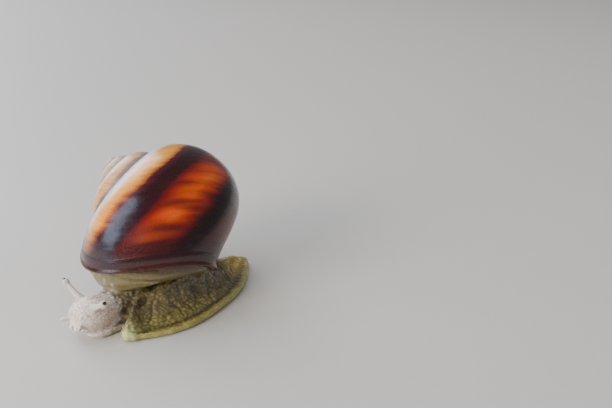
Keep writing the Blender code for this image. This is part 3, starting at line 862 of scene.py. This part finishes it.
def neck_folds():
    top = ease(normal[:, 2], 0.25, 0.7) * ease(-ahead, -1.2, 0.2)
    along = fold("neck ridge", np.abs(left)) + fold("neck grooves", np.abs(left))
    drawn_in = on_neck * (1 - on_head) * (0.45 + uneven("drawn in"))
    wrinkles = WRINKLE_HEIGHT * np.sin(ahead * 2 * pi / WRINKLE + uneven("wrinkle bend"))
    return (on_neck + on_head).clip(0, 1) * top * along + wrinkles * drawn_in


def head_folds():
    from_mouth = rest - MOUTH
    side, over, front = np.abs(from_mouth @ LEFT), from_mouth @ UP, from_mouth @ AHEAD
    folds = sum(out * bell(side - aside, wide) * bell(over - above + droop * side ** 2, tall)
                for aside, above, wide, tall, droop, out in FACE.values())
    return ease(front, -1.6, -0.2) * on_head * folds


def eye_sockets():
    """A low roll of skin round each eye."""
    left_away, right_away = (away_from(middle_of(eye)) for eye in ("eye_left", "eye_right"))
    return fold("eye sockets", np.minimum(left_away, right_away))


push = push + neck_folds() + head_folds() + eye_sockets()
folded = rest + normal * push[:, None]
folded = smoothed(folded, edges, 1, np.full(len(rest), LAST_SMOOTHING))
folded[:, 2] = np.maximum(folded[:, 2], 0.0)
set_points(skin_net.data, folded)
print("with the neck and head:", push.min().round(2), "to", push.max().round(2), "mm")

# %% [markdown]
# ## The pebbled grain
# A snail's skin is a net of fine grooves round small raised pebbles, which carry slime over the whole body.
# That is a rule and it repeats thousands of times, so Geometry Nodes make it: cells of two sizes, coarse on
# the foot and fine on the head. The tree also stores the cells, so that the finish can darken the grooves.

# %% Store the parts on the skin
# painted highlight: the rear of the foot is painted bright yellow for the light that falls on the tail
painted_light_on_tail = ease(rest[:, 1], 12.0, 22.0) * on_foot
low_flank = 0.6 * on_foot * (1 - ease(height, 1.4, 5.0))
# painted shade: the foot close below the head is turned grey-brown, for the shade the head casts there
painted_shade_under_head = 0.8 * on_foot * (1 - ease(away_from(HEAD), 5.5, 8.5)) * (1 - on_lobe)
# the head's own pale colour, painted paler still, near white: painted highlight of the sky on its wet skin
pale_head_with_painted_light = 1 - ease(distance_to(["head", "mouth_lips"], rest) + uneven("pale edge"), 0.3, 3.6)
above_sole = ease(height, 0.15, 0.7)
on_lips = bell(away_from(MOUTH, (0.7, 0.7, 1.0)), 1.5)
# how much coarse and fine grain there is; less on smooth parts, and none on the sole
coarse = 0.9 * (1 - 0.7 * on_collar) * (1 - on_head) * (1 - on_feeler)
coarse = (coarse * (1 - 0.5 * on_fringe) * (1 - 0.6 * on_lobe)).clip(0, 1)
fine = (on_head + 0.35 * on_fringe + 0.3 * on_collar).clip(0, 1)
fine = fine * (1 - 0.6 * on_feeler) * (1 - 0.8 * on_lips)
PARTS = {
    "pale_head_with_painted_light": pale_head_with_painted_light, "feeler": on_feeler, "collar": on_collar, "neck": on_neck, "lobe": on_lobe,
    "fringe": on_fringe, "low_flank": low_flank, "painted_shade_under_head": painted_shade_under_head, "tail": painted_light_on_tail,
    "hang": below_mouth, "fold": push, "coarse": coarse * above_sole, "fine": fine * above_sole,
}
for name, part in PARTS.items():
    store(skin_net.data, name, part)
print("stored on the skin:", ", ".join(PARTS))

# %% Raise the grain with Geometry Nodes
GRAIN_SIZES = {
    "Coarse cell": 1.05 * MM,
    "Fine cell": 0.52 * MM,
    "Coarse height": 0.17 * MM,
    "Fine height": 0.055 * MM,
    "Groove width": 0.26,               # share of a cell
    "Waver": 0.35,                      # how far the cells' edges wander, as a share of a cell
    "Seed": 7.0,
}
WAVER_SCALE, WAVER_DETAIL = 0.8, 1.0    # a wander spans a little over one cell
SUNK = 0.7                              # share of the height that grooves sink; pebbles rise by the rest


def grain_tree(sizes, finish):
    """Raises pebbles on the skin and stores how far each point is out of a groove."""
    tree, value = grow_nodes("skin_grain", sizes)
    value["place"] = add(tree, "GeometryNodeInputPosition")
    # the cells are measured from where the skin lay before it was raised
    geometry = add(tree, "GeometryNodeStoreNamedAttribute",
                   {0: value["Geometry"], 2: "unraised", 3: value["place"]}, data_type="FLOAT_VECTOR")
    value["push"] = 0.0
    for name in ("Coarse", "Fine"):
        value["share"] = add(tree, "GeometryNodeInputNamedAttribute", {0: name.lower()}, data_type="FLOAT")
        work_out(tree, value, (
            ("per cell", "DIVIDE", 1.0, name + " cell"),
            ("cells", "SCALED", "place", "per cell"),
            ("cells", "MOVED", "cells", "Seed"),
            ("waver", "NOISE", "cells", WAVER_SCALE, WAVER_DETAIL)))
        value["waver"] = value["waver"].node.outputs["Color"]
        work_out(tree, value, (
            ("waver", "SCALED", "waver", "Waver"),
            ("cells", "MOVED", "cells", "waver")))
        edge = add(tree, "ShaderNodeTexVoronoi", {"Vector": value["cells"], "Scale": 1.0},
                   feature="DISTANCE_TO_EDGE")
        value[name] = add(tree, "ShaderNodeMapRange", {0: edge, 1: 0.0, 2: value["Groove width"]},
                          interpolation_type="SMOOTHSTEP")
        work_out(tree, value, (
            ("raised", "SUBTRACT", name, SUNK),
            ("raised", "MULTIPLY", "raised", "share"),
            ("push", "MULTIPLY_ADD", "raised", name + " height", "push")))
        geometry = add(tree, "GeometryNodeStoreNamedAttribute",
                       {0: geometry, 2: name.lower() + "_pebble", 3: value[name]}, data_type="FLOAT")
    value["normal"] = add(tree, "GeometryNodeInputNormal")
    work_out(tree, value, (
        ("push", "SCALED", "normal", "push"),
        ("moved", "MOVED", "place", "push"),
        # no point may sink below the floor, which is at 0; the model is nowhere near a metre wide
        ("lowest", "VECTOR", -1.0, -1.0, 0.0),
        ("moved", "AT LEAST", "moved", "lowest")))
    geometry = add(tree, "GeometryNodeSetPosition", {0: geometry, 2: value["moved"]})
    finish_nodes(tree, geometry, finish)
    return tree


wet_skin = bpy.data.materials.new("wet_snail_skin")
run_nodes(skin_net, grain_tree(GRAIN_SIZES, wet_skin), GRAIN_SIZES)
skin = evaluated_copy(skin_net, "snail_skin")
describe(skin)

# %% [markdown]
# ## The eyes
# A snail's eyes are small dark glossy balls at the tips of its long feelers. They are hard and clear where
# the skin is soft and wet, so they stay pieces of their own with a finish of their own.

# %% Make the eyes
def make_ball(name, low, high):
    """A ball in this box."""
    shape = bmesh.new()
    bmesh.ops.create_icosphere(shape, subdivisions=4, radius=0.5)
    for vertex in shape.verts:
        vertex.co = [(a + b) / 2 + c * (b - a) for a, b, c in zip(low, high, vertex.co)]
    return smooth_piece(shape, name)


eyes = {name: make_ball(name + "_ball", *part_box(name)) for name in ("eye_left", "eye_right")}
print("eyes:", {name: round(max(eye.dimensions) / MM, 2) for name, eye in eyes.items()}, "mm across")

# %% [markdown]
# ## The shell's finish
# The colour of a shell sits in its thin horny outer layer. The bands run along the spiral because fixed
# places on the mantle's edge lay the pigment down, so their colours are a ramp over the angle round the
# tube. Everything that happened at one time crosses them: growth lines, flames, the dark last rows. A
# painted image could do the same, but a rule has no seam and stays sharp at any distance.

# %% Helpers for the finishes
def begin_material(material, *stored):
    """A material's emptied tree, and the numbers stored on the piece that its tables can name."""
    material.use_nodes = True
    tree = material.node_tree
    tree.nodes.clear()
    return tree, {name: add(tree, "ShaderNodeAttribute", attribute_name=name).node.outputs["Fac"]
                  for name in stored}


def lay_over(tree, value, coats, way="OVER"):
    """Lays colours over the tone, each by the strength of its mark, and within its zone if it has one."""
    for code, mark, *zones in coats:
        for zone in zones:
            work_out(tree, value, [(mark, "MULTIPLY", mark, zone)])
        work_out(tree, value, [("tone", way, mark, "tone", colour(code))])


def end_material(tree, value, *, strength, depth, **constants):
    """Ends a material from its tone, rough and height, with a relief of this depth in mm."""
    bump = add(tree, "ShaderNodeBump", {
        "Strength": strength, "Distance": depth * MM, "Height": value["height"]})
    shader = add(tree, "ShaderNodeBsdfPrincipled", {
        "Base Color": value["tone"], "Roughness": value["rough"], "Normal": bump}).node
    for name, constant in constants.items():
        shader.inputs[name.replace("_", " ")].default_value = constant
    add(tree, "ShaderNodeOutputMaterial", {0: shader.outputs[0]})


# %% Choose the shell's colours
SUTURE, NAVEL = 86.0, -209.0            # the ends of the section's outer arc, in degrees
BANDS = (                               # degrees round the tube, colour
    # the pale stops near the suture, 82 to 66 degrees, are the shell's whitish ground with a cool lilac cast
    # that is painted sky reflection
    (86, "#A89690"), (82, "#CDBFC0"), (66, "#D9CED4"), (56, "#DBC0B0"), (51, "#E2A562"), (39, "#D6892C"),
    (34, "#A0501E"), (29, "#420B10"), (21, "#220509"), (9, "#2A060A"), (4, "#6E1006"), (-4, "#AC3805"),
    (-13, "#C04A06"), (-22, "#9C2A05"), (-28, "#5E0C05"), (-32, "#220405"), (-46, "#1C0405"),
    (-54, "#451004"), (-78, "#561806"), (-100, "#451508"), (-150, "#6A3A1C"), (-209, "#93653F"))
CROSSING = {                            # how many to a turn, to a radian round the tube, and the seed
    "patches": (11.0, 1.0, 4.0),        # 14 mm long on the last whorl
    "flames": (19.0, 0.75, 1.3),        # 8 mm
    "lines": (SHELL_SIZES["Growth lines per turn"], LINE_SPREAD, SHELL_SIZES["Seed"]),     # as the relief
    "fine lines": (280.0, 3.0, 4.0),    # 0.5 mm, drawn coarser than the real 0.1 mm so that they show
}
BAND_WAVER = {"patches": 12.0, "lines": 7.0, "fine lines": 3.0}     # degrees
SHELL_LOOK = (
    ("scuffs", "NOISE", "place", per(1.1), 4.0, 0.65),
    # zones of the bands, and marks that cross all of them
    ("off orange", "SUBTRACT", "degrees", -12.0),
    ("off orange", "ABSOLUTE", "off orange"),
    ("off stripe", "SUBTRACT", "degrees", 43.0),
    ("off stripe", "ABSOLUTE", "off stripe"),
    ("orange zone", "RANGE", "off orange", 25.0, 10.0),
    ("dark flame", "RANGE", "flames", 0.44, 0.6, 0.0, 0.85),
    ("orange core", "RANGE", "off orange", 15.0, 3.0),
    ("bright flame", "RANGE", "flames", 0.42, 0.28, 0.0, 0.7),
    ("pale zone", "RANGE", "degrees", 44.0, 57.0, 0.0, 0.65),
    ("brown streak", "RANGE", "lines", 0.5, 0.68),
    ("stripe", "RANGE", "off stripe", 14.0, 6.0),
    ("farther on", "RANGE", "growth", -0.16, -0.3, 0.0, 0.9),
    ("last rows", "RANGE", "growth", -0.105, -0.036, 0.0, 0.85),
    ("old", "RANGE", "growth", -0.72, -1.5, 0.0, 0.5),
    ("older", "RANGE", "growth", -1.6, -2.6, 0.0, 0.7),
    ("line shade", "RANGE", "lines", 0.3, 0.7, 0.74, 1.1),
    ("fine shade", "RANGE", "fine lines", 0.3, 0.7, 0.88, 1.06),
    ("shade", "MULTIPLY", "line shade", "fine shade"),
    # roughness and relief
    ("scuff", "RANGE", "scuffs", 0.35, 0.7, -0.04, 0.1),
    ("worn gloss", "RANGE", "growth", -0.7, -2.0, 0.24, 0.42),
    ("rough", "ADD", "scuff", "worn gloss"),
    ("height", "MULTIPLY_ADD", "fine lines", 0.6, "lines"),
    ("height", "MULTIPLY_ADD", "scuffs", 0.12, "height"),
)
SHELL_COATS = (                         # colour, mark, and the zone it keeps to
    ("#48090A", "dark flame", "orange zone"), ("#D8690C", "bright flame", "orange core"),
    ("#8A6248", "brown streak", "pale zone"), ("#C98710", "farther on", "stripe"),
    ("#220A12", "last rows"), ("#C9B4AA", "old"), ("#B49C8C", "older"))
print(len(BANDS), "colours in the bands and", len(SHELL_COATS), "laid over them")

# %% Paint the shell
# Periostracum is a glossy protein varnish over lime: deep clear colour, a wet-looking shine where it is
# whole, and a duller, paler face on the old whorls where it has rubbed off.
def paint_shell(material):
    tree, value = begin_material(material, "growth", "around")
    value["place"] = add(tree, "ShaderNodeTexCoord").node.outputs["Object"]
    for name, crossing in CROSSING.items():
        growth_noise(tree, value, name, *crossing)

    # the bands' edges waver from one growth line to the next
    work_out(tree, value, [("degrees", "MULTIPLY", "around", 180 / pi)])
    for name, reach in BAND_WAVER.items():
        work_out(tree, value, (
            ("waver", "SUBTRACT", name, 0.5),
            ("degrees", "MULTIPLY_ADD", "waver", reach, "degrees")))
    work_out(tree, value, [("across bands", "RANGE", "degrees", SUTURE, NAVEL), *SHELL_LOOK])
    value["tone"] = add(tree, "ShaderNodeValToRGB", {0: value["across bands"]}, stops=[
        ((SUTURE - at) / (SUTURE - NAVEL), code) for at, code in BANDS])
    lay_over(tree, value, SHELL_COATS)
    work_out(tree, value, [("tone", "TIMES", 1.0, "tone", "shade")])
    end_material(tree, value, strength=0.5, depth=0.07, Coat_Weight=0.3, Coat_Roughness=0.14)


paint_shell(horn)
print("shell finish:", len(horn.node_tree.nodes), "nodes")

# %% [markdown]
# ## The lip, the skin and the eyes
# The lip is bare enamel, laid down last: dark where it leaves the shell and paler where it turns in. The
# skin's colour follows the parts stored on it: a pale head, an olive flank, a yellow-green fringe. Slime
# keeps it wet, so a thin clear coat lies over a soft surface that light enters a little way. The eyes are
# small and dark, and only their shine shows that they are round.

# %% Paint the lip
LIP_COLOURS = ((0.0, "#220A12"), (0.3, "#2C0F0D"), (0.5, "#3E1A10"), (0.65, "#70452E"), (0.8, "#B8906C"),
               (1.0, "#A8825E"))


# Shell enamel is fired-looking lime with no horn over it: smooth, dense and satin.
def paint_lip(material):
    tree, value = begin_material(material, "across")
    value["place"] = add(tree, "ShaderNodeTexCoord").node.outputs["Object"]
    work_out(tree, value, (
        ("blotches", "NOISE", "place", per(2.8), 3.0, 0.6),
        ("height", "NOISE", "place", per(0.6), 2.0, 0.5),
        ("rough", "RANGE", "blotches", 0.3, 0.7, 0.2, 0.36),
        ("shift", "RANGE", "blotches", 0.3, 0.7, -0.05, 0.05),
        ("across", "ADD", "across", "shift")))
    value["tone"] = add(tree, "ShaderNodeValToRGB", {0: value["across"]}, stops=LIP_COLOURS)
    end_material(tree, value, strength=0.4, depth=0.05, Coat_Weight=0.25, Coat_Roughness=0.12)


enamel = bpy.data.materials.new("shell_enamel")
lip.data.materials.append(enamel)
paint_lip(enamel)
print("lip finish:", len(enamel.node_tree.nodes), "nodes")

# %% Paint the skin
SKIN_LOOK = (
    ("clouds", "NOISE", "place", per(5.0), 3.0, 0.55),
    ("specks", "NOISE", "place", per(0.65), 3.0, 0.6),
    ("light cloud", "RANGE", "clouds", 0.35, 0.65),
    # painted shade: the collar turns dark brown close under the shell, where the shell's overhang shades it
    ("painted shade under shell", "RANGE", "hang", 2.4, -0.4),
    ("coarse groove", "RANGE", "coarse_pebble", 1.0, 0.0, 0.0, 0.55),
    ("fine groove", "RANGE", "fine_pebble", 1.0, 0.0, 0.0, 0.62),
    # painted shade: the skin is darkened in its deepest folds
    ("painted shade in folds", "RANGE", "fold", -0.06, -0.34, 0.0, 0.7),
    ("dark speck", "RANGE", "specks", 0.52, 0.72, 0.0, 0.4),
    ("head cloud", "RANGE", "clouds", 0.45, 0.65, 0.0, 0.45),
    # roughness and relief
    ("wet patch", "RANGE", "clouds", 0.3, 0.7, 0.26, 0.4),
    ("groove dullness", "RANGE", "coarse_pebble", 0.0, 1.0, 0.1, 0.0),
    ("rough", "ADD", "wet patch", "groove dullness"),
    ("fine cell", "RANGE", "cells", 0.0, 0.2, 0.0, 0.5),
    ("height", "ADD", "fine cell", "specks"),
)
OLIVE = "#5E523A"
SKIN_COATS = (
    ("#82734C", "light cloud"), ("#8F8548", "low_flank"), ("#6E6440", "collar"),
    # the collar's dark brown next to the shell is painted shade
    # the tail's bright yellow is painted highlight, for the light that falls on it
    ("#3C2A1A", "painted shade under shell", "collar"), ("#7A7052", "neck"), ("#E2C062", "tail"), ("#A59C58", "fringe"),
    # the grey-brown below the head is painted shade
    # the near-white head is its own pale colour with painted highlight over it
    ("#C4CA8C", "lobe"), ("#6A6250", "painted_shade_under_head"), ("#F4E5DE", "pale_head_with_painted_light"),
    ("#D0B6A9", "head cloud", "pale_head_with_painted_light"), ("#C8BCB0", "feeler"))
SKIN_SHADES = (
    ("#2E2614", "coarse groove", "coarse"), ("#93786A", "fine groove", "fine"),
    # the darkening in the deep folds is painted shade
    ("#3A2C1C", "painted shade in folds"), ("#7A6A4E", "dark speck"))


# Wet skin is soft and full of water: light goes in and comes out a little farther on, and a film of slime
# puts sharp small lights on every pebble.
def paint_skin(material):
    tree, value = begin_material(material, *PARTS, "coarse_pebble", "fine_pebble")
    value["place"] = add(tree, "ShaderNodeAttribute", attribute_name="unraised").node.outputs["Vector"]
    # cells 0.3 mm wide, drawn about twice as coarse as the real ones so that they show
    value["cells"] = add(tree, "ShaderNodeTexVoronoi", {"Vector": value["place"], "Scale": per(0.3)},
                         feature="DISTANCE_TO_EDGE")
    value["tone"] = colour(OLIVE)
    work_out(tree, value, SKIN_LOOK)
    lay_over(tree, value, SKIN_COATS)
    lay_over(tree, value, SKIN_SHADES, "TIMES")
    end_material(tree, value, strength=0.4, depth=0.05, Subsurface_Weight=0.18,
                 Subsurface_Scale=0.6 * MM, Subsurface_Radius=(1.0, 0.55, 0.3),
                 Coat_Weight=0.65, Coat_Roughness=0.1)


paint_skin(wet_skin)
print("skin finish:", len(wet_skin.node_tree.nodes), "nodes")

# %% Paint the eyes
# The eye's clear skin over black pigment looks like a bead of dark glass.
def paint_eye(material):
    tree, value = begin_material(material)
    value["place"] = add(tree, "ShaderNodeTexCoord").node.outputs["Object"]
    work_out(tree, value, (
        ("height", "NOISE", "place", per(0.4), 2.0, 0.5),
        ("rough", "RANGE", "height", 0.3, 0.7, 0.08, 0.2),
        ("tone", "OVER", "height", colour("#0C0908"), colour("#241A16"))))
    end_material(tree, value, strength=0.1, depth=0.01, Coat_Weight=0.8, Coat_Roughness=0.05)


cornea = bpy.data.materials.new("eye_cornea")
paint_eye(cornea)
for eye in eyes.values():
    eye.data.materials.append(cornea)
print("finishes:", [material.name for material in bpy.data.materials if material.users])

# %% [markdown]
# ## Put the pieces on the imported model
# Each piece takes over the imported solids that it shows: those are hidden, and the piece is put under the
# root body. Beside each piece the table names the slot that it stands for.

# %% Hand the pieces over
HANDED_OVER = (
    (shell, "banded_shell", ["shell_body_whorl", "shell_penultimate_whorl", "shell_spire", "shell_apex"]),
    (lip, "lip_enamel", ["shell_lip"]),
    (skin, "snail_skin", FLESH),
    (eyes["eye_left"], "eye", ["eye_left"]),
    (eyes["eye_right"], "eye", ["eye_right"]),
)
for piece, slot, replaced in HANDED_OVER:
    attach(piece, "root")
    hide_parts(*replaced)
    print(piece.name, "shows", len(replaced), "packed solids as", slot)

# %% [markdown]
# ## The studio
# The snail stands on a plain pale floor under large soft lights. Two cool ones at the left, as open sky
# would be, draw the shine down the left of the shell. Three more fill the shadows, from overhead, from the
# right and in front of the head. They are left out of reflections, so that no pale square covers the
# shell's deep colours.

# %% Lay the floor
# Studio card is matt and plain, so that nothing on it draws the eye.
def paint_floor(material):
    tree, value = begin_material(material)
    value["place"] = add(tree, "ShaderNodeTexCoord").node.outputs["Object"]
    # real card has grain too fine to show, so this one is 2.5 mm wide
    work_out(tree, value, (
        ("height", "NOISE", "place", per(2.5), 3.0, 0.5),
        ("rough", "RANGE", "height", 0.3, 0.7, 0.5, 0.62),
        ("tone", "OVER", "height", colour("#B4B1AC"), colour("#BBB8B3"))))
    end_material(tree, value, strength=0.15, depth=0.05)


mesh = bpy.data.meshes.new("floor")
mesh.from_pydata([(-2, -2, 0), (2, -2, 0), (2, 2, 0), (-2, 2, 0)], [], [(0, 1, 2, 3)])     # metres
floor = new_piece(mesh, "floor")
card = bpy.data.materials.new("studio_card")
floor.data.materials.append(card)
paint_floor(card)
print("floor:", [round(size) for size in floor.dimensions], "m")

# %% Set the lights
LIGHTS = {          # place, width and height in metres, watts, colour, and whether reflections show it
    "sky_panel": ((-0.28, -0.24, 0.21), 0.16, 0.36, 0.95, "#BCD6F0", True),
    "left_panel": ((-0.5, 0.22, 0.27), 0.3, 0.4, 1.7, "#EAE6FA", True),
    "overhead_panel": ((-0.4, 0.15, 0.85), 0.9, 1.0, 9.0, "#FFFFFF", False),
    "right_panel": ((0.5, 0.2, 0.2), 0.4, 0.4, 0.8, "#FFF6EC", False),
    "front_panel": ((-0.12, -0.48, 0.2), 0.3, 0.3, 5.0, "#FFF8F0", False),
}
AIMED_AT = Vector((0, 0, 0.015))        # about the snail's middle
AIR_COLOUR, AIR_STRENGTH = colour("#C9D0D6"), 0.35      # even light from all round

for name, (place, width, tall, power, tint, reflected) in LIGHTS.items():
    light = bpy.data.lights.new(name, "AREA")
    light.shape = "RECTANGLE"
    light.energy = power
    light.size = width
    light.size_y = tall
    light.color = colour(tint)[:3]
    lamp = bpy.data.objects.new(name, light)
    lamp.location = place
    lamp.rotation_euler = (AIMED_AT - lamp.location).to_track_quat("-Z", "Y").to_euler()
    lamp.visible_glossy = reflected
    bpy.context.scene.collection.objects.link(lamp)

world = bpy.data.worlds.new("studio_air")
world.use_nodes = True
world.node_tree.nodes["Background"].inputs["Color"].default_value = AIR_COLOUR
world.node_tree.nodes["Background"].inputs["Strength"].default_value = AIR_STRENGTH
bpy.context.scene.world = world
print("lights:", ", ".join(LIGHTS))

# %% Place the camera
CAMERA_PLACE = (114.172, -136.065, 95.322)      # mm, in the animal's own frame
CAMERA_DOWN, CAMERA_ROUND = 21.975, 29.59       # degrees

camera = bpy.data.objects.new("camera", bpy.data.cameras.new("camera"))
bpy.context.scene.collection.objects.link(camera)
bpy.context.scene.camera = camera
camera.data.lens = 50.0
camera.data.sensor_width = 36.0
camera.data.clip_start = 0.01
camera.location = (Vector(CAMERA_PLACE) + Vector(STAND)) * MM
camera.rotation_euler = Euler((radians(90 - CAMERA_DOWN), 0, radians(CAMERA_ROUND)))
print("camera:", [round(x / MM) for x in camera.location], "mm, lens", camera.data.lens)
